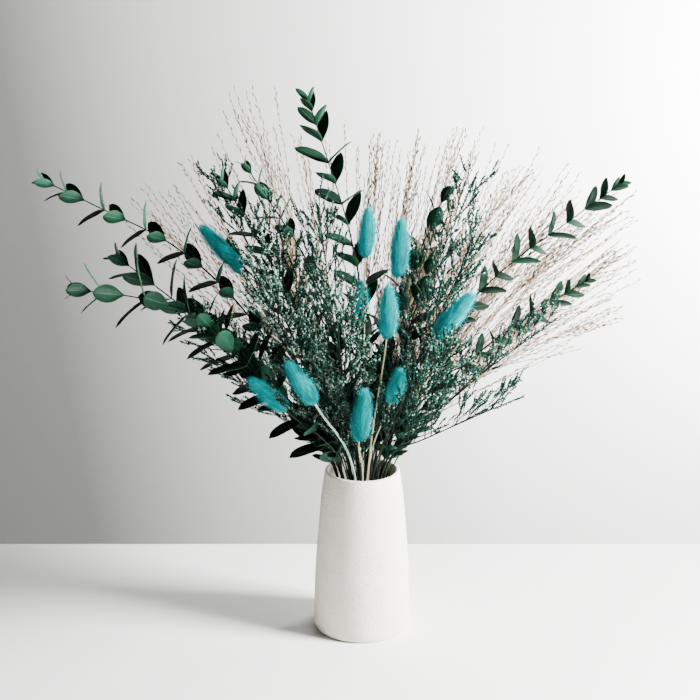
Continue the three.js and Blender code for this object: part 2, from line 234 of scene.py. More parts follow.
def vase_section():
    """Radius and height along the outside, over the lip and down the inside to the middle of the floor."""
    outside = [(0.0, 0.0)] + VASE_OUTLINE
    lip = VASE_WALL / 2
    rim_radius = VASE_OUTLINE[-1][0]
    rim = [
        (rim_radius - lip + lip * math.cos(angle), VASE_HEIGHT - lip + lip * math.sin(angle))
        for angle in np.linspace(LIP_START, math.pi, LIP_STEPS)
    ]
    inside = [(r - VASE_WALL, z) for r, z in reversed(VASE_OUTLINE[4:-1])]
    floor = [
        (VASE_OUTLINE[3][0] - 1.6 * VASE_WALL, VASE_FLOOR + 0.001),
        (VASE_FLOOR_RADIUS, VASE_FLOOR),
        (0.0, VASE_FLOOR),
    ]
    return outside + rim + inside + floor


def finish_piece(piece, node, material):
    piece.data.materials.append(material)
    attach(piece, "root")
    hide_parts(node)


section = vase_section()
vase_mesh = bpy.data.meshes.new("vase_body")
vase_mesh.from_pydata([(r, 0, z) for r, z in section], [(i, i + 1) for i in range(len(section) - 1)], [])
vase = bpy.data.objects.new("vase_body", vase_mesh)
bpy.context.scene.collection.objects.link(vase)
make_active(vase)
bpy.ops.object.mode_set(mode="EDIT")
bpy.ops.mesh.select_all(action="SELECT")
bpy.ops.mesh.spin(steps=VASE_STEPS, angle=2 * math.pi, center=(0, 0, 0), axis=(0, 0, 1))
bpy.ops.mesh.select_all(action="SELECT")
bpy.ops.mesh.remove_doubles(threshold=1e-5)
bpy.ops.mesh.normals_make_consistent(inside=False)
bpy.ops.object.mode_set(mode="OBJECT")
bpy.ops.object.shade_smooth_by_angle(angle=math.radians(40))

ceramic, tree, shader = new_material("unglazed_ceramic", 0.78)
coordinates = tree.nodes.new("ShaderNodeTexCoord").outputs["Object"]
cloud = add(tree, "ShaderNodeTexNoise", Scale=60.0, Detail=5.0, Roughness=0.6)
grain = add(tree, "ShaderNodeTexNoise", Scale=650.0, Detail=4.0, Roughness=0.65)
pits = add(tree, "ShaderNodeTexVoronoi", Scale=520.0)
for texture in (cloud, grain, pits):
    tree.links.new(coordinates, texture.inputs["Vector"])
body_colour = ramp(tree, cloud.outputs["Fac"], (0.3, (0.7, 0.66, 0.56)), (0.7, (0.78, 0.74, 0.635)))
speck = ramp(tree, pits.outputs["Distance"], (0.06, (0.6, 0.57, 0.5)), (0.16, (1.0, 1.0, 1.0)))
colour = add(tree, "ShaderNodeMix", data_type="RGBA", blend_type="MULTIPLY")
colour.inputs["Factor"].default_value = 0.55
tree.links.new(body_colour, colour.inputs["A"])
tree.links.new(speck, colour.inputs["B"])
tree.links.new(colour.outputs["Result"], shader.inputs["Base Color"])
rough_skin = calculate(tree, "ADD", grain.outputs["Fac"], pits.outputs["Distance"])
rise(tree, shader, rough_skin, 0.0004)
finish_piece(vase, "vase", ceramic)

# ---------------------------------------------------------------- hare's-tail stems
# Dry straw stalks, one under each furry head, stand in the vase with all the other stems. Every stem runs
# from its cut end on the vase's floor past the rim to a point half way, then to its tip. Where it stands in
# the vase is where its CAD solid stands.

MM = 0.001
RIM = VASE_HEIGHT / MM
SPREAD_AT_FOOT = 1.15  # the stems' cut ends stand this much wider apart than they pass the rim
CUT_END = 3.0  # a solid's corners within this height of its lowest belong to its stem's cut end
SPANS = 9  # straight spans in a stem
CHORD = 2.0  # a line's direction is read this far either side of a place on it
AWAY = np.array((0.0, 1.0, 0.0))
STRAW_STEPS = 40
IN_THE_HEAD = 6  # how far a stem runs on into its head

HARES_TAILS = {  # base of the head, and its tip
    "top_left": ((2, -50, 389), (5, -54, 439)),
    "top_right": ((31, -45, 368), (35, -48, 428)),
    "far_left": ((-113, -10, 363), (-153, -14, 413)),
    "centre": ((21, -85, 321), (22, -92, 377)),
    "hidden": ((-5, -25, 321), (-1, -26, 362)),
    "right": ((65, -80, 319), (101, -88, 369)),
    "left_front": ((-43, -100, 263), (-70, -112, 310)),
    "left_low": ((-70, -70, 247), (-106, -80, 284)),
    "right_low": ((25, -88, 261), (35, -98, 298)),
    "centre_low": ((-4, -95, 225), (2, -110, 284)),
}


def unit(vectors):
    return vectors / np.linalg.norm(vectors, axis=-1, keepdims=True)


def smooth_points(points, shares):
    """Places on the smooth curve through some points, at shares of the way through them."""
    points = np.array(points, float)
    ends = np.vstack((2 * points[0] - points[1], points, 2 * points[-1] - points[-2]))
    place = np.clip(shares, 0, 1) * (len(points) - 1)
    first = np.minimum(place.astype(int), len(points) - 2)
    t = (place - first)[:, None]
    before, start, stop, after = (ends[first + i] for i in range(4))
    leave, arrive = (stop - before) / 2, (after - start) / 2
    return (
        start
        + leave * t
        + (3 * (stop - start) - 2 * leave - arrive) * t**2
        + (2 * (start - stop) + leave + arrive) * t**3
    )


class Line:
    """A smooth line through points, in equal straight spans, measured along its length in millimetres."""

    def __init__(self, points, spans, reference=AWAY):
        shares = np.linspace(0, 1, 101)
        fine = smooth_points(points, shares)
        run = np.r_[0, np.cumsum(np.linalg.norm(np.diff(fine, axis=0), axis=1))]
        self.knots = smooth_points(points, np.interp(np.linspace(0, run[-1], spans + 1), run, shares))
        self.marks = np.r_[0, np.cumsum(np.linalg.norm(np.diff(self.knots, axis=0), axis=1))]
        self.length = self.marks[-1]
        self.reference = reference

    def point(self, s):
        return np.stack([np.interp(s, self.marks, axis) for axis in self.knots.T], axis=-1)

    def frame(self, s):
        """Where the line is at s, the way it runs, and two directions square to that."""
        along = unit(self.point(s + CHORD) - self.point(s - CHORD))
        side = unit(np.cross(along, self.reference))
        return self.point(s), along, side, np.cross(side, along)

    def rounded(self, s):
        """Where the line is at s when its spans are rounded where they meet."""
        return smooth_points(self.knots, np.interp(s, self.marks, np.linspace(0, 1, len(self.marks))))

    def rod(self, steps, thick, thin, end=None):
        """The points and tapering radii of a rod along the rounded line."""
        places = np.linspace(0.0, self.length if end is None else end, steps)
        return self.rounded(places), np.linspace(thick, thin, steps)


def corners_of(node):
    """A CAD node's corners, in millimetres."""
    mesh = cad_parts[node].data
    corners = np.empty(3 * len(mesh.vertices))
    mesh.vertices.foreach_get("co", corners)
    return np.unique(np.round(corners.reshape(-1, 3) / MM, 3), axis=0)


def stem_line(corners, half_way, tip):
    cut_end = corners[corners[:, 2] < corners[:, 2].min() + CUT_END]
    painted_shade_low = cut_end.mean(axis=0)
    mouth = (painted_shade_low[0] / SPREAD_AT_FOOT, painted_shade_low[1] / SPREAD_AT_FOOT, RIM)
    return Line([painted_shade_low, mouth, half_way, tip], SPANS)


def rods(name, paths, roundness=1):
    """Round rods along (points, radii) paths in millimetres, as one mesh in metres."""
    curve = bpy.data.curves.new(name, "CURVE")
    curve.dimensions = "3D"
    curve.bevel_depth = 1.0
    curve.bevel_resolution = roundness
    curve.use_fill_caps = True
    for points, radii in paths:
        spline = curve.splines.new("POLY")
        spline.points.add(len(points) - 1)
        spline.points.foreach_set("co", np.c_[points * MM, np.ones(len(points))].ravel())
        spline.points.foreach_set("radius", np.asarray(radii) * MM)
    piece = bpy.data.objects.new(name, curve)
    bpy.context.scene.collection.objects.link(piece)
    make_active(piece)
    bpy.ops.object.convert(target="MESH")
    piece = bpy.context.active_object
    piece.name = name
    bpy.ops.object.shade_smooth()
    return piece


def dry_skin():
    """Streaks and blotches that every dry stem shows: a value for its colour and a height for its bump."""
    group = bpy.data.node_groups.new("dry_skin", "ShaderNodeTree")
    group.interface.new_socket("Fineness", in_out="INPUT", socket_type="NodeSocketFloat")
    group.interface.new_socket("Tone", in_out="OUTPUT", socket_type="NodeSocketFloat")
    group.interface.new_socket("Height", in_out="OUTPUT", socket_type="NodeSocketFloat")
    enter, leave = group.nodes.new("NodeGroupInput"), group.nodes.new("NodeGroupOutput")
    where = group.nodes.new("ShaderNodeTexCoord")
    squeeze = add(group, "ShaderNodeMapping", Scale=(1.0, 1.0, 0.22))
    streaks = add(group, "ShaderNodeTexNoise", Detail=4.0, Roughness=0.65)
    group.links.new(where.outputs["Object"], squeeze.inputs["Vector"])
    group.links.new(squeeze.outputs["Vector"], streaks.inputs["Vector"])
    group.links.new(enter.outputs["Fineness"], streaks.inputs["Scale"])
    group.links.new(streaks.outputs["Fac"], leave.inputs["Tone"])
    group.links.new(streaks.outputs["Fac"], leave.inputs["Height"])
    return group


DRY_SKIN = dry_skin()


def dry_material(name, dark, light, fineness=900.0, roughness=0.75):
    material, tree, shader = new_material(name, roughness)
    shader.inputs["Specular IOR Level"].default_value = 0.08
    skin = tree.nodes.new("ShaderNodeGroup")
    skin.node_tree = DRY_SKIN
    skin.inputs["Fineness"].default_value = fineness
    tree.links.new(ramp(tree, skin.outputs["Tone"], (0.3, dark), (0.7, light)), shader.inputs["Base Color"])
    rise(tree, shader, skin.outputs["Height"], 0.0002)
    return material


straw = dry_material("straw", (0.2, 0.18, 0.11), (0.42, 0.39, 0.27))
olive_straw = dry_material("olive_straw", (0.006, 0.012, 0.007), (0.03, 0.04, 0.025))
pale_straw = dry_material("pale_mint_straw", (0.22, 0.33, 0.27), (0.42, 0.54, 0.46))
STRAW_RADII = {"left_front": (1.3, 1.0), "centre": (1.0, 0.7)}
THIN_STRAW = (0.8, 0.6)  # the radii of all other stems, at the cut end and at the head
STRAW_SKINS = {
    "left_front": pale_straw,
    "centre": straw,
    "top_left": straw,
    "centre_low": straw,
    "right_low": straw,
}

heads = {}
for place, (base, tip) in HARES_TAILS.items():
    node = f"hares_tail_stem_{place}"
    line = stem_line(corners_of(node), base, tip)
    head_length = float(np.linalg.norm(np.subtract(tip, base)))
    heads[place] = line, head_length
    thick, thin = STRAW_RADII.get(place, THIN_STRAW)
    end = line.length - head_length + IN_THE_HEAD
    stem = rods(f"straw_stem_{place}", [line.rod(STRAW_STEPS, thick, thin, end)])
    finish_piece(stem, node, STRAW_SKINS.get(place, olive_straw))

# ---------------------------------------------------------------- hare's-tail heads
# Soft egg-shaped flower heads, dyed turquoise. Each is a core of close chaff with thousands of fine hairs
# that lean to the tip, paler where they end. One hair is modelled and planted all over the core.

HEAD_WIDTH = 18.8
CORE_SHARE = 0.55  # the core's radius as a share of the furry outline
CORE_START, CORE_SPAN = 0.03, 0.84  # where the core lies, as shares of the head's length
HAIRS_PER_MM2 = 4.0
HAIR_LENGTH = 12.0
HAIR_LENGTHS = (0.7, 1.15)  # the shortest and the longest hair, as shares of that
HAIR_RADIUS = 0.12
HAIR_BEND = 0.14  # how far a hair's tip bends back to the head, as a share of its length
FIRST_ROOT, ROOTS_SPAN = 0.02, 0.85  # where hairs grow, as shares of the head's length
ROOT_DEPTH = 0.9  # how far out in the core a hair begins, as a share of the core's radius
HAIR_LEAN = 0.62  # how far a hair runs on towards the head's tip, as a share of its length
LAST_END = 1.02  # no hair ends past this share of the head's length
HAIR_ENDS = (0.62, 1.14)  # how far out hairs end, as shares of the outline's radius
HAIR_STRAY = 0.9  # how far a hair's end strays, in millimetres
FLYAWAY = 4.0  # how far a few loose hairs stand out of the outline
TONE_SPREAD = 1.1
LEAST_TONE = 0.25  # the darkest hair's tone
SHADED_HEADS_PAINTED_PALER = {  # the same for heads that lie in shade, painted paler as painted light
    "far_left": 1.0,
    "left_low": 0.8,
    "right_low": 0.8,
    "left_front": 0.45,
    "hidden": 0.4,
}
FIRST_HEAD = 40  # the first head's seed
GOLDEN_TURN = math.radians(137.508)


def planted(name, pattern, places, tones):
    """One mesh with a copy of the pattern at each place (in millimetres), and a tone for each copy."""
    count = len(places)
    source = pattern.data
    spots, loops = len(source.vertices), len(source.loops)
    local = np.empty(3 * spots)
    source.vertices.foreach_get("co", local)
    local = np.c_[local.reshape(-1, 3), np.ones(spots)]
    points = np.einsum("nij,kj->nki", places, local) * MM
    corner_spots = np.empty(loops, int)
    source.loops.foreach_get("vertex_index", corner_spots)
    starts = np.empty(len(source.polygons), int)
    source.polygons.foreach_get("loop_start", starts)
    uv = np.empty(2 * loops)
    source.uv_layers.active.data.foreach_get("uv", uv)
    mesh = bpy.data.meshes.new(name)
    mesh.vertices.add(count * spots)
    mesh.vertices.foreach_set("co", points.ravel())
    mesh.loops.add(count * loops)
    mesh.loops.foreach_set("vertex_index", (corner_spots + spots * np.arange(count)[:, None]).ravel())
    mesh.polygons.add(count * len(starts))
    mesh.polygons.foreach_set("loop_start", (starts + loops * np.arange(count)[:, None]).ravel())
    mesh.polygons.foreach_set("use_smooth", np.ones(count * len(starts), bool))
    mesh.uv_layers.new(name="surface").data.foreach_set("uv", np.tile(uv, count))
    mesh.attributes.new("tone", "FLOAT", "POINT").data.foreach_set("value", np.repeat(tones, spots))
    mesh.update()
    piece = bpy.data.objects.new(name, mesh)
    bpy.context.scene.collection.objects.link(piece)
    return piece


def pattern_of(name):
    """Takes the active primitive out of the scene, to be used as a pattern in millimetres."""
    pattern = bpy.context.active_object
    pattern.name = name
    pattern.data.transform(pattern.matrix_world)
    for collection in list(pattern.users_collection):
        collection.objects.unlink(pattern)
    return pattern


def places_at(origins, across, along, up, sizes):
    """Where a pattern goes: its own x, y and z directions and its origin, for one copy or for many."""
    return np.stack((across * sizes, along * sizes, up * sizes, origins), axis=-1)


def lengthwise_uv(pattern, length):
    """Gives a pattern that lies along y a UV whose V runs from 0 at its foot to 1 at its tip."""
    uv = pattern.data.uv_layers.active.data
    for loop in pattern.data.loops:
        uv[loop.index].uv = (0.5, pattern.data.vertices[loop.vertex_index].co.y / length)


def hair_pattern():
    """One tapering hair, one unit long."""
    bpy.ops.mesh.primitive_cone_add(vertices=3, radius1=HAIR_RADIUS / HAIR_LENGTH, radius2=0, depth=1)
    hair = bpy.context.active_object
    bpy.ops.object.mode_set(mode="EDIT")
    bpy.ops.mesh.select_all(action="SELECT")
    bpy.ops.mesh.bisect(plane_co=(0, 0, 0.05), plane_no=(0, 0, 1))
    bpy.ops.object.mode_set(mode="OBJECT")
    for vertex in hair.data.vertices:
        x, y, z = vertex.co
        share = z + 0.5
        vertex.co = (x, share, -y - HAIR_BEND * share * share)
    lengthwise_uv(hair, 1.0)
    return pattern_of("hair")


deselect_all()
hair = hair_pattern()


def tone_and_surface(tree):
    """Each copy's tone, and where on the copy a place is, across (X) and along it (Y)."""
    tone = add(tree, "ShaderNodeAttribute", attribute_name="tone").outputs["Fac"]
    surface = add(tree, "ShaderNodeSeparateXYZ")
    tree.links.new(tree.nodes.new("ShaderNodeUVMap").outputs["UV"], surface.inputs["Vector"])
    return tone, surface.outputs


def toned_material(name, roughness, spread, lengthwise, *stops):
    """A material whose colour goes by each copy's tone and by how far along the copy a place is."""
    material, tree, shader = new_material(name, roughness)
    tone, surface = tone_and_surface(tree)
    from_tone = calculate(tree, "MULTIPLY", tone, spread)
    lightness = calculate(tree, "MULTIPLY_ADD", surface["Y"], lengthwise, from_tone)
    tree.links.new(ramp(tree, lightness, *stops), shader.inputs["Base Color"])
    return material, shader


fluff, shader = toned_material(
    "turquoise_hair",
    0.8,
    0.5,
    0.5,
    (0.0, (0.0, 0.04, 0.042)),
    (0.35, (0.0, 0.19, 0.2)),
    (0.75, (0.0, 0.36, 0.37)),
    (1.0, (0.0, 0.6, 0.61)),
)
shader.inputs["Specular IOR Level"].default_value = 0.03

chaff = dry_material("turquoise_chaff", (0.0, 0.1, 0.1), (0.0, 0.28, 0.28), 1500.0, 0.9)


def furry_outline(share, width):
    """The radius that the hairs' tips reach: a spindle, fuller at its base than at its tip."""
    from_widest = np.abs(2 * np.clip(share, 0, 1) ** 0.85 - 1)
    return 0.5 * width * (1 - from_widest**1.7) ** 0.6


def head_core(name, line, base, length, width):
    bpy.ops.mesh.primitive_uv_sphere_add(segments=24, ring_count=20, radius=1)
    core = bpy.context.active_object
    core.name = name
    for vertex in core.data.vertices:
        x, y, z = vertex.co
        share = CORE_START + CORE_SPAN * (z + 1) / 2
        around = math.atan2(y, x)
        radius = CORE_SHARE * furry_outline(share, width) * (1 - z**8)
        origin, along, side, face = line.frame(base + share * length)
        vertex.co = (origin + radius * (side * math.cos(around) + face * math.sin(around))) * MM
    bpy.ops.object.shade_smooth()
    return core


for number, (place, (line, length)) in enumerate(heads.items()):
    chance = np.random.default_rng(FIRST_HEAD + number)
    base = line.length - length
    width = HEAD_WIDTH * min(1, 0.55 + length / 130)
    core = head_core(f"chaff_{place}", line, base, length, width)
    finish_piece(core, f"hares_tail_{place}", chaff)
    count = int(HAIRS_PER_MM2 * math.pi * width * length * 0.5)
    shares = FIRST_ROOT + ROOTS_SPAN * (np.arange(count) + chance.random(count)) / count
    angles = np.arange(count) * GOLDEN_TURN + chance.random(count)
    origins, along, side, face = line.frame(base + shares * length)
    out = side * np.cos(angles)[:, None] + face * np.sin(angles)[:, None]
    roots = origins + out * (ROOT_DEPTH * CORE_SHARE * furry_outline(shares, width))[:, None]
    lengths = HAIR_LENGTH * chance.uniform(*HAIR_LENGTHS, count)
    ends = np.minimum(shares + HAIR_LEAN * lengths / length, LAST_END)
    reach = furry_outline(ends, width) * chance.uniform(*HAIR_ENDS, count)
    reach += FLYAWAY * chance.random(count) ** 3
    tips = line.point(base + ends * length) + out * reach[:, None]
    tips += HAIR_STRAY * chance.normal(size=(count, 3))
    ways = unit(tips - roots)
    across = unit(np.cross(ways, out))
    lengths = np.minimum(lengths, 1.1 * np.linalg.norm(tips - roots, axis=1))[:, None]
    hairs = places_at(roots, across, ways, np.cross(across, ways), lengths)
    # heads that lie in shade get paler tones: painted light
    tones = TONE_SPREAD * chance.random(count) ** 1.3 + SHADED_HEADS_PAINTED_PALER.get(place, LEAST_TONE)
    fur = planted(f"fur_{place}", hair, hairs, tones)
    finish_piece(fur, f"hares_tail_{place}", fluff)

# ---------------------------------------------------------------- eucalyptus
# Preserved branches of a small-leaved eucalyptus: thin dark stems with pairs of pointed oval leaves, each
# pair a quarter turn from the next. A leaf is a thin blade, darker above than below, with a raised midrib.

# Half way, tip, how much above the rim is bare, the size of its leaves, and the turn of its pairs in degrees.
EUCALYPTUS = {
    "far_left": ((-141, -15, 363), (-296, -20, 456), 100, 1.0, 9),
    "left_low": ((-147, -45, 327), (-262, -60, 362), 110, 1.25, -9),
    "left_mid": ((-129, 0, 291), (-232, 12, 374), 90, 1.25, 9),
    "top": ((-4, -12, 363), (-50, -30, 533), 130, 1.15, 40),
    "right_high": ((100, 0, 331), (243, 10, 447), 130, 0.95, -36),
    "right_low": ((101, -35, 287), (208, -40, 366), 110, 0.85, -36),
    "upper_left": ((-41, 20, 340), (-113, 40, 460), 130, 0.85, 9),
    "inner_left": ((-59, -30, 325), (-131, -20, 459), 110, 0.9, 30),
    "low_left": ((-86, -60, 265), (-146, -80, 341), 25, 1.25, -9),
    "upper_right": ((38, 25, 329), (81, 45, 432), 120, 1.0, 9),
    "inner_right": ((34, 10, 263), (64, 15, 369), 70, 1.05, 9),
    "back_left": ((-52, 90, 258), (-78, 150, 363), 60, 1.1, 9),
    "back_right": ((43, 90, 258), (70, 150, 363), 60, 1.1, -9),
}
LEAF_LENGTH, LEAF_WIDTH, LEAF_PITCH, LEAF_CURL = 30.0, 14.0, 21.0, 0.1
LEAF_THICKNESS = 0.3
LEAF_STALK = 0.06  # the stalk's share of a leaf's length
PAIR_TOP = 4.0  # how far below the tip the first pair grows
PAIR_FIRST, PAIR_GROWTH = 9, 4  # the space below the first pair, and how much more each next one has
PAIR_SMALL, PAIR_BIGGER = 0.5, 0.16  # the first pair's size, and how much bigger each next one is
PAIR_SPREAD, PAIR_OPENING, PAIR_WIDEST = 30, 6, 60  # how far pairs stand off their stem, in degrees
PAIR_CLOSER = 0.65  # every second pair stands off its stem by this share
PAIR_LOOSE = 20  # how far the turns of a branch's pairs differ, in degrees
INNER_PITCH, INNER_SIZE = 8.0, 0.95
INNER_SPREAD = math.radians(38)
OUTER_BRANCHES = ("far_left", "left_low", "left_mid", "low_left")
OUTER_INSIDE = 45.0  # how far up the outer branches the leaves inside the bunch reach
BRANCH_ROD = (60, 1.5, 0.5)  # how many points it has, and its radii at the foot and at the tip
STEM_DEPTH = 8.0  # what counts as above the rim begins this far inside the vase
BELOW_RIM = RIM - STEM_DEPTH
TURNS = [  # the turns and sizes that the solids' shoots were tried with, in their order
    (0, 1),
    (24, 1),
    (-24, 1),
    (48, 0.9),
    (-48, 0.9),
    (0, 0.75),
    (75, 0.75),
    (-75, 0.75),
    (0, 0.55),
    (120, 0.55),
]
SAME_PLACE = 0.05  # a tip this near a corner of the solid is that corner
SOLID_LOOSE = 40  # how far the solids' shoots are turned on from the golden turn at most, in degrees
LENGTH_DRAWS = 20  # the first of the draws for the lengths of the solids' shoots
LEAF_DRAWS = 50  # the first of the draws for the lengths of leaves


def draw(seed, n):
    """The same repeatable share from 0 to 1 as the solids use."""
    wave = math.sin(seed * 12.9898 + n * 78.233) * 43758.5453
    return wave - math.floor(wave)


def as_the_solid_has_it(corners, tip_of):
    """The turn and size whose tip is a corner of the solid, or None where the solid left this shoot out."""
    for turn, size in TURNS:
        if np.min(np.linalg.norm(corners - tip_of(math.radians(turn), size), axis=1)) < SAME_PLACE:
            return math.radians(turn), size
    return None


def above_the_rim(node, half_way, tip):
    """The corners of a stem's solid, the stem's line, and how much of it stands above the rim."""
    corners = corners_of(node)
    line = stem_line(corners, half_way, tip)
    return corners, line, line.length - BELOW_RIM


def out_of(stem_frame, roll):
    """The direction square to a stem that is turned round it by roll."""
    return stem_frame[2] * math.cos(roll) + stem_frame[3] * math.sin(roll)


def rounded_frame(line, s):
    return (line.rounded([s])[0], *line.frame(s)[1:])


def leaf_at(stem_frame, roll, spread, size):
    """Where a leaf grows from a stem, turned round it by roll and away from it by spread."""
    origin, along = stem_frame[:2]
    out = out_of(stem_frame, roll)
    axis = along * math.cos(spread) + out * math.sin(spread)
    normal = along * math.sin(spread) - out * math.cos(spread)
    return places_at(origin, np.cross(axis, normal), axis, normal, size)


def leaf_pattern():
    bpy.ops.mesh.primitive_grid_add(x_subdivisions=2, y_subdivisions=9, size=1)
    leaf = bpy.context.active_object
    for vertex in leaf.data.vertices:
        side, share = 2 * vertex.co.x, vertex.co.y + 0.5
        blade = max(0.0, (share - LEAF_STALK) / (1 - LEAF_STALK))
        wide = LEAF_WIDTH / 2 * math.sin(math.pi * blade**0.95) ** 0.62 if 0 < blade < 1 else 0
        wide = max(wide, 0.5 * (1 - share) + 0.03)
        ripple = 0.3 * math.sin(9 * share) * side
        fold = 0.16 * abs(side) * wide
        vertex.co = (side * wide, share * LEAF_LENGTH, fold + ripple - LEAF_CURL * LEAF_LENGTH * share**2)
    thicken = leaf.modifiers.new("thickness", "SOLIDIFY")
    thicken.thickness = LEAF_THICKNESS
    thicken.offset = 0
    bpy.ops.object.modifier_apply(modifier="thickness")
    uv = leaf.data.uv_layers.active.data
    for face in leaf.data.polygons:
        if face.normal.z < 0:  # the underside's U runs from 1 to 2
            for loop in face.loop_indices:
                uv[loop].uv[0] += 1
    return pattern_of("leaf")


deselect_all()
leaf = leaf_pattern()

leaf_skin, tree, shader = new_material("eucalyptus_leaf", 0.65)
shader.inputs["Specular IOR Level"].default_value = 0.12
tone, surface = tone_and_surface(tree)
blotch = add(tree, "ShaderNodeTexNoise", Scale=220.0, Detail=4.0)
tree.links.new(tree.nodes.new("ShaderNodeTexCoord").outputs["Object"], blotch.inputs["Vector"])
lightness = calculate(tree, "MULTIPLY_ADD", blotch.outputs["Fac"], 0.35, tone)
upper = ramp(
    tree,
    lightness,
    (0.15, (0.0006, 0.004, 0.0025)),
    (0.6, (0.001, 0.012, 0.007)),
    (1.0, (0.004, 0.035, 0.018)),
)
under = ramp(
    tree,
    lightness,
    (0.15, (0.001, 0.011, 0.0055)),
    (0.6, (0.003, 0.032, 0.017)),
    (1.0, (0.009, 0.068, 0.038)),
)
is_under = calculate(tree, "GREATER_THAN", surface["X"], 1.0)
leaf_colour = add(tree, "ShaderNodeMix", data_type="RGBA")
tree.links.new(is_under, leaf_colour.inputs["Factor"])
tree.links.new(upper, leaf_colour.inputs["A"])
tree.links.new(under, leaf_colour.inputs["B"])
across_leaf = calculate(tree, "FRACT", surface["X"])
from_rib = calculate(tree, "ABSOLUTE", calculate(tree, "SUBTRACT", across_leaf, 0.5))
rib = ramp(
    tree,
    from_rib,
    (0.0, (0.7, 0.7, 0.7)),
    (0.03, (0, 0, 0)),
    (0.46, (0, 0, 0)),
    (0.5, (0.6, 0.6, 0.6)),
)
ribbed = add(tree, "ShaderNodeMix", data_type="RGBA")
ribbed.inputs["B"].default_value = (0.04, 0.12, 0.04, 1)
tree.links.new(rib, ribbed.inputs["Factor"])
tree.links.new(leaf_colour.outputs["Result"], ribbed.inputs["A"])
tree.links.new(ribbed.outputs["Result"], shader.inputs["Base Color"])
rise(tree, shader, rib, 0.0003)

bark = dry_material("eucalyptus_bark", (0.001, 0.004, 0.0025), (0.008, 0.013, 0.008), 1400.0, 0.85)

for seed, (place, (half_way, tip, bare, full, askew)) in enumerate(EUCALYPTUS.items(), start=1):
    node = f"eucalyptus_{place}"
    corners, line, above = above_the_rim(node, half_way, tip)
    chance = np.random.default_rng(seed)
    places, tones = [], []
    down, pair = PAIR_TOP, 0
    while down < above - bare:
        opened = math.radians(min(PAIR_WIDEST, PAIR_SPREAD + PAIR_OPENING * pair))
        spread = opened * (PAIR_CLOSER if pair % 2 else 1)
        size = min(1, PAIR_SMALL + PAIR_BIGGER * pair) * full
        quarter = math.radians((pair % 2) * 90 + askew + PAIR_LOOSE * (draw(seed, pair) - 0.5))
        for half in (0, 1):
            length = size * (0.88 + 0.24 * draw(seed, LEAF_DRAWS + 2 * pair + half))
            roll = quarter + half * math.pi

            def leaf_tip(turn, shrink):
                grown = leaf_at(line.frame(line.length - down), roll + turn, spread, length * shrink)
                return grown @ (0, LEAF_LENGTH, -LEAF_CURL * LEAF_LENGTH, 1)

            turn, shrink = as_the_solid_has_it(corners, leaf_tip) or (0, 1)
            grows_at = rounded_frame(line, line.length - down)
            places.append(leaf_at(grows_at, roll + turn, spread, length * shrink))
            tones.append(0.1 + 0.65 * chance.random() ** 1.2)
        down += min(LEAF_PITCH, PAIR_FIRST + PAIR_GROWTH * pair)
        pair += 1
    inside = OUTER_INSIDE if place in OUTER_BRANCHES else bare
    for down in np.arange(above - inside, above - STEM_DEPTH, INNER_PITCH):  # leaves inside the bunch, with darker tones as painted shade
        for half in (0, 1):
            roll = half * math.pi + chance.uniform(0, math.pi)
            size = INNER_SIZE * chance.uniform(0.7, 1.2)
            places.append(leaf_at(rounded_frame(line, line.length - down), roll, INNER_SPREAD, size))
            # darker tones for the leaves inside the bunch: painted shade
            tones.append(0.1 + 0.4 * chance.random())
    leaves = planted(f"leaves_{place}", leaf, np.array(places), np.array(tones))
    finish_piece(leaves, node, leaf_skin)
    branch = rods(f"branch_{place}", [line.rod(*BRANCH_ROD)])
    finish_piece(branch, node, bark)

# ---------------------------------------------------------------- sea lavender
# Dyed sprays: a thin dark stem branches again and again, and two rows of narrow papery flower cups line its
# last twigs, dark green at the foot and pale at the rim. One cup is modelled and copied.

SEA_LAVENDER = {  # half way, tip, how pale its flowers are, where its twigs start, and how many it has
    "top_left": ((-74, 5, 314), (-140, -5, 462), 0.35, 0.15, 24),
    "upper_left": ((-59, -30, 305), (-92, -48, 442), 0.4, 0.15, 26),
    "left": ((-96, -20, 257), (-158, -32, 323), 0.6, 0.03, 32),
    "mid_left": ((-55, -70, 283), (-101, -98, 398), 0.62, 0.03, 36),
    "centre": ((-26, -50, 321), (-41, -60, 441), 0.25, 0.03, 38),
    "front": ((-17, -80, 267), (-25, -125, 370), 0.45, 0.02, 40),
    "right_high": ((50, 10, 313), (108, 20, 455), 0.15, 0.05, 32),
    "right": ((58, -35, 302), (108, -52, 414), 0.2, 0.14, 32),
    "right_front": ((39, -70, 244), (79, -112, 320), 0.3, 0.22, 28),
    "low_right_long": ((91, -50, 260), (176, -75, 339), 0.3, 0.34, 16),
    "low_right": ((71, -85, 232), (144, -122, 280), 0.25, 0.36, 11),
    "back_left": ((-62, 70, 275), (-87, 120, 365), 0.5, 0.1, 26),
    "back_right": ((53, 70, 265), (58, 120, 354), 0.35, 0.1, 26),
}
FIRST_LAVENDER = 24  # the first spray's seed
SPRAY_REACH = 78.0
SOLID_TWIGS = 4  # how many twigs a spray's solid has
SOLID_TWIG_SPANS = 4
SOLID_TWIG_SPREAD = math.radians(42)
TWIGS_FROM, TWIGS_OVER = 0.32, 0.5  # where those twigs grow, as shares of the stem above the rim
TWIG_SPANS, SPIKE_SPANS = 8, 4
SPRAY_ROD, TWIG_ROD, SPIKE_ROD = (50, 1.3, 0.45), (8, 0.6, 0.35), (4, 0.3, 0.2)  # as BRANCH_ROD
SPIKES_START, SPIKES_END, SPIKE_PITCH = 0.22, 0.95, 7.0  # the first two are shares of the twig's length
SPIKE_DOWN = -0.25  # a spike that points down more than this is turned over
CUP_LENGTH, CUP_RADIUS, CUP_PITCH = 3.0, 0.9, 1.15
CUPS_ON_TIP = 0.16  # the share of a spray's stem that has cups at its tip
TWIG_CUPS_START, SPIKE_CUPS_START = 0.72, 0.3
CUP_ROWS = 0.8  # each row of cups stands this far from the inner side of its spike, in radians
FRONT = -128.0  # no more twigs reach farther forward than this
FEW_TWIGS = 16  # sprays with no more twigs than this are bare below, and all their twigs turn up


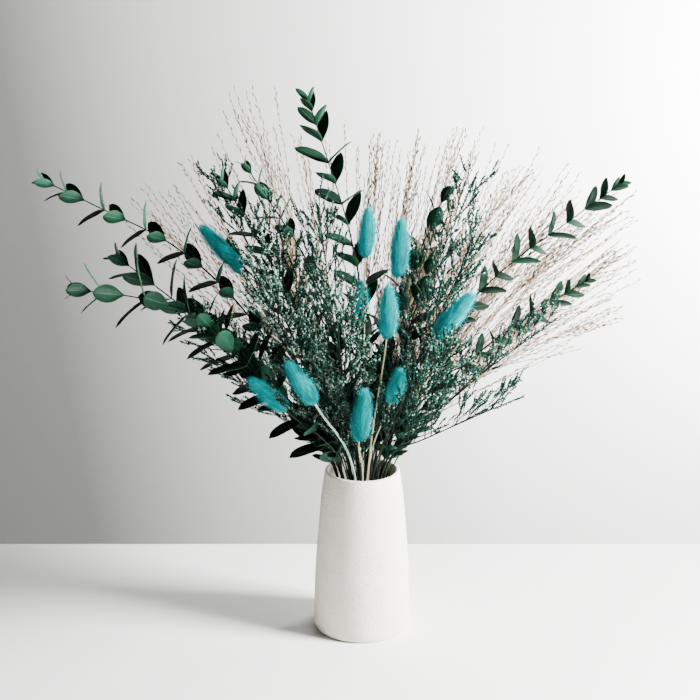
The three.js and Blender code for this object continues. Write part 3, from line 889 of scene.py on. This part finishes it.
def shoot_line(stem_frame, roll, spread, length, spans):
    """The line of a shoot that leaves its stem and turns back a little towards it."""
    origin, along = stem_frame[:2]
    out = out_of(stem_frame, roll)

    def reach(angle, far):
        return origin + (along * math.cos(angle) + out * math.sin(angle)) * far

    return Line([origin, reach(spread, length / 2), reach(0.8 * spread, length)], spans, out)


def solid_shoot(corners, line, s, roll, spread, length, spans, finer_spans):
    """The shoot that the solid has at s, on a finer line, in a list that is empty where it has none."""

    def tip_of(turn, shrink):
        return shoot_line(line.frame(s), roll + turn, spread, length * shrink, spans).knots[-1]

    found = as_the_solid_has_it(corners, tip_of)
    if found is None:
        return []
    turn, shrink = found
    return [shoot_line(rounded_frame(line, s), roll + turn, spread, length * shrink, finer_spans)]


def cup_pattern():
    """A narrow four-sided flower cup that opens to its rim, hollowed at the mouth."""
    bpy.ops.mesh.primitive_cone_add(vertices=4, radius1=0.22, radius2=CUP_RADIUS, depth=CUP_LENGTH)
    cup = bpy.context.active_object
    bpy.ops.object.mode_set(mode="EDIT")
    bpy.ops.mesh.select_all(action="DESELECT")
    bpy.ops.object.mode_set(mode="OBJECT")
    for face in cup.data.polygons:
        face.select = face.normal.z > 0.9
    bpy.ops.object.mode_set(mode="EDIT")
    bpy.ops.mesh.inset(thickness=0.45 * CUP_RADIUS, depth=-0.3 * CUP_LENGTH)
    bpy.ops.object.mode_set(mode="OBJECT")
    cup.data.transform(Matrix.Translation((0, 0, CUP_LENGTH / 2)))
    cup.data.transform(Matrix.Rotation(-math.pi / 2, 4, "X"))
    lengthwise_uv(cup, CUP_LENGTH)
    return pattern_of("cup")


deselect_all()
cup = cup_pattern()

petals, shader = toned_material(
    "sea_lavender_cups",
    0.8,
    0.5,
    0.62,
    (0.1, (0.0005, 0.0035, 0.0025)),
    (0.5, (0.0015, 0.015, 0.01)),
    (0.75, (0.008, 0.065, 0.046)),
    (0.88, (0.13, 0.24, 0.18)),
    (1.0, (0.5, 0.57, 0.49)),
)
shader.inputs["Specular IOR Level"].default_value = 0.12
wiry = dry_material("sea_lavender_twig", (0.001, 0.004, 0.003), (0.006, 0.013, 0.009), 1600.0, 0.8)


def leaning_forward(line, marks, angles, leans, sizes):
    """Places for copies that stand round a shoot at some angles and lean forward along it."""
    _, along, side, face = line.frame(marks)
    out = side * np.cos(angles)[:, None] + face * np.sin(angles)[:, None]
    ways = along * np.cos(leans)[:, None] + out * np.sin(leans)[:, None]
    across = unit(np.cross(ways, out))
    return places_at(line.rounded(marks), across, ways, np.cross(across, ways), sizes[:, None])


def cups_along(line, start, chance):
    """Places for the two rows of cups on the inner side of a spike."""
    marks = np.arange(start, line.length, CUP_PITCH)
    count = len(marks)
    marks = marks + chance.uniform(-0.3, 0.3, count)
    angles = CUP_ROWS * (-1.0) ** np.arange(count) - np.pi / 2 + chance.normal(0, 0.3, count)
    leans = chance.uniform(0.25, 0.65, count)
    sizes = chance.uniform(0.7, 1.1, count)
    return leaning_forward(line, marks, angles, leans, sizes)


for seed, (place, (half_way, tip, pale, bare, more)) in enumerate(SEA_LAVENDER.items(), start=FIRST_LAVENDER):
    node = f"sea_lavender_{place}"
    corners, line, above = above_the_rim(node, half_way, tip)
    chance = np.random.default_rng(seed)
    twigs = []
    for i in range(SOLID_TWIGS):
        share = TWIGS_FROM + TWIGS_OVER * i / (SOLID_TWIGS - 1)
        s = line.length - above * (1 - share)
        roll = i * GOLDEN_TURN + math.radians(SOLID_LOOSE * draw(seed, i))
        if more <= FEW_TWIGS and out_of(line.frame(s), roll)[2] < 0:
            roll += math.pi
        length = SPRAY_REACH * (1.05 - 0.6 * share) * (0.85 + 0.3 * draw(seed, LENGTH_DRAWS + i))
        twigs += solid_shoot(
            corners, line, s, roll, SOLID_TWIG_SPREAD, length, SOLID_TWIG_SPANS, TWIG_SPANS
        )
    for i in range(more):
        share = bare + (0.96 - bare) * (i + chance.random()) / more
        s = line.length - above * (1 - share)
        length = SPRAY_REACH * min(0.9, 1.12 - 0.72 * share, 0.32 + 2 * share) * chance.uniform(0.75, 1.05)
        spread = math.radians(chance.uniform(28, 46))
        roll = i * GOLDEN_TURN + chance.random()
        if more <= FEW_TWIGS and out_of(line.frame(s), roll)[2] < 0:
            roll += math.pi
            length *= 0.75
        twig = shoot_line(rounded_frame(line, s), roll, spread, length, TWIG_SPANS)
        if twig.knots[-1][1] > FRONT:
            twigs.append(twig)
    wood = [line.rod(*SPRAY_ROD)]
    cups = [cups_along(line, line.length - CUPS_ON_TIP * above, chance)]
    for twig in twigs:
        wood.append(twig.rod(*TWIG_ROD))
        cups.append(cups_along(twig, TWIG_CUPS_START * twig.length, chance))
        for s in np.arange(SPIKES_START * twig.length, SPIKES_END * twig.length, SPIKE_PITCH):
            s = s + chance.uniform(-2, 2)
            length = chance.uniform(13, 24) * (1.1 - 0.45 * s / twig.length)
            spread = math.radians(chance.uniform(30, 52))
            roll = math.pi * round(s / SPIKE_PITCH) + chance.normal(0, 0.7)
            if out_of(twig.frame(s), roll)[2] < SPIKE_DOWN:
                roll += math.pi
            spike = shoot_line(rounded_frame(twig, s), roll, spread, length, SPIKE_SPANS)
            wood.append(spike.rod(*SPIKE_ROD))
            cups.append(cups_along(spike, SPIKE_CUPS_START * spike.length, chance))
    cups = np.concatenate(cups)
    tones = np.clip(chance.normal(pale, 0.28, len(cups)), 0.02, 1)
    flowers = planted(f"flowers_{place}", cup, cups, tones)
    finish_piece(flowers, node, petals)
    woody = rods(f"twigs_{place}", wood, 0)
    finish_piece(woody, node, wiry)

# ---------------------------------------------------------------- plume grass
# Dried flowering grass: a pale, pinkish culm frays into many hair-thin strands, each set along both sides
# with slim dark husks that point forward. One husk is modelled and copied.

PLUMES = {  # half way, tip, and how many more strands it has
    "a": ((-119, 45, 303), (-211, 70, 425), 20),
    "b": ((-95, 55, 310), (-168, 90, 452), 24),
    "c": ((-61, 50, 342), (-112, 80, 521), 17),
    "d": ((-37, 65, 328), (-61, 110, 473), 22),
    "e": ((6, 70, 326), (16, 120, 473), 24),
    "f": ((27, 60, 329), (56, 100, 473), 27),
    "g": ((49, 55, 331), (98, 90, 482), 40),
    "h": ((76, 60, 314), (159, 100, 445), 52),
    "i": ((101, 55, 300), (212, 90, 418), 60),
    "j": ((120, 45, 298), (260, 70, 421), 56),
    "k": ((125, 35, 275), (263, 60, 369), 52),
    "l": ((119, 20, 254), (250, 40, 316), 32),
}
FIRST_PLUME = 37  # the first culm's seed
SOLID_STRANDS = 3  # how many strands a culm's solid has
SOLID_STRAND_SPANS = 3
SOLID_STRAND_SPREAD = math.radians(13)
STRANDS_FROM, STRANDS_OVER = 0.36, 0.36  # where those strands grow, as shares of the culm above the rim
STRAND_SPANS = 10
CULM_ROD, STRAND_ROD = (60, 0.9, 0.3), (14, 0.42, 0.22)  # as BRANCH_ROD
BACK = 160.0  # no more strands reach farther back than this
DROOP = 0.12  # how far a strand's tip sinks, as a share of its length
HUSK_LENGTH, HUSK_RADIUS, HUSK_PITCH = 6.2, 0.62, 6.2
HUSKS_ON_TIP = 0.45  # the share of a culm that has husks at its tip
STRAND_HUSKS_START = 0.12


def husk_pattern():
    """A slim husk, pointed at both ends."""
    bpy.ops.mesh.primitive_uv_sphere_add(segments=3, ring_count=3, radius=1)
    husk = bpy.context.active_object
    for vertex in husk.data.vertices:
        x, y, z = vertex.co
        vertex.co = (x * HUSK_RADIUS, (z + 1) * HUSK_LENGTH / 2, -y * HUSK_RADIUS)
    lengthwise_uv(husk, HUSK_LENGTH)
    return pattern_of("husk")


deselect_all()
husk = husk_pattern()

husk_skin, _ = toned_material(
    "plume_husk",
    0.75,
    0.7,
    0.3,
    (0.1, (0.004, 0.003, 0.0025)),
    (0.5, (0.025, 0.018, 0.013)),
    (0.9, (0.34, 0.25, 0.17)),
)
pale_culm = dry_material("plume_culm", (0.27, 0.185, 0.115), (0.56, 0.42, 0.28), 1600.0, 0.8)
tree = pale_culm.node_tree
shader = tree.nodes["Principled BSDF"]
pale_colour = shader.inputs["Base Color"].links[0].from_socket
# The culms are painted dark green below about 0.2 to 0.29 m above the table: painted shade where they stand
# low in the bunch.
height = add(tree, "ShaderNodeSeparateXYZ")
tree.links.new(tree.nodes.new("ShaderNodeTexCoord").outputs["Object"], height.inputs["Vector"])
painted_shade_low = ramp(tree, height.outputs["Z"], (0.2, (0.03, 0.06, 0.04)), (0.29, (1, 1, 1)))
culm_colour = add(tree, "ShaderNodeMix", data_type="RGBA", blend_type="MULTIPLY")
culm_colour.inputs["Factor"].default_value = 1
tree.links.new(pale_colour, culm_colour.inputs["A"])
tree.links.new(painted_shade_low, culm_colour.inputs["B"])
tree.links.new(culm_colour.outputs["Result"], shader.inputs["Base Color"])


def husks_along(line, start, chance):
    """Places for the husks on both sides of a strand."""
    marks = np.arange(start, line.length, HUSK_PITCH) + chance.uniform(-0.8, 0.8)
    count = len(marks)
    angles = np.pi * np.arange(count) + chance.normal(0, 0.5, count)
    leans = chance.uniform(0.15, 0.5, count)
    sizes = chance.uniform(0.7, 1.15, count)
    return leaning_forward(line, marks, angles, leans, sizes)


for seed, (place, (half_way, tip, more)) in enumerate(PLUMES.items(), start=FIRST_PLUME):
    node = f"plume_grass_{place}"
    corners, line, above = above_the_rim(node, half_way, tip)
    chance = np.random.default_rng(seed)
    strands = []
    for i in range(SOLID_STRANDS):
        share = STRANDS_FROM + STRANDS_OVER * i / (SOLID_STRANDS - 1)
        s = line.length - above * (1 - share)
        roll = i * GOLDEN_TURN + math.radians(SOLID_LOOSE * draw(seed, i))
        length = above * (1 - share) * (0.9 + 0.2 * draw(seed, LENGTH_DRAWS + i))
        strands += solid_shoot(
            corners, line, s, roll, SOLID_STRAND_SPREAD, length, SOLID_STRAND_SPANS, STRAND_SPANS
        )
    for i in range(more):
        share = chance.uniform(0.03, 0.86)
        s = line.length - above * (1 - share)
        length = above * (1 - share) * chance.uniform(0.42, 1.06)
        spread = math.radians(chance.uniform(5, 17))
        roll = i * GOLDEN_TURN + chance.random()
        strand = shoot_line(rounded_frame(line, s), roll, spread, length, STRAND_SPANS)
        strand.knots[:, 2] -= DROOP * chance.random() * length * np.linspace(0, 1, STRAND_SPANS + 1) ** 2
        if strand.knots[-1][1] < BACK:
            strands.append(strand)
    straws = [line.rod(*CULM_ROD)]
    husks = [husks_along(line, line.length - HUSKS_ON_TIP * above, chance)]
    for strand in strands:
        straws.append(strand.rod(*STRAND_ROD))
        husks.append(husks_along(strand, STRAND_HUSKS_START * strand.length, chance))
    husks = np.concatenate(husks)
    husky = planted(f"husks_{place}", husk, husks, chance.random(len(husks)))
    finish_piece(husky, node, husk_skin)
    strawy = rods(f"strands_{place}", straws, 0)
    finish_piece(strawy, node, pale_culm)
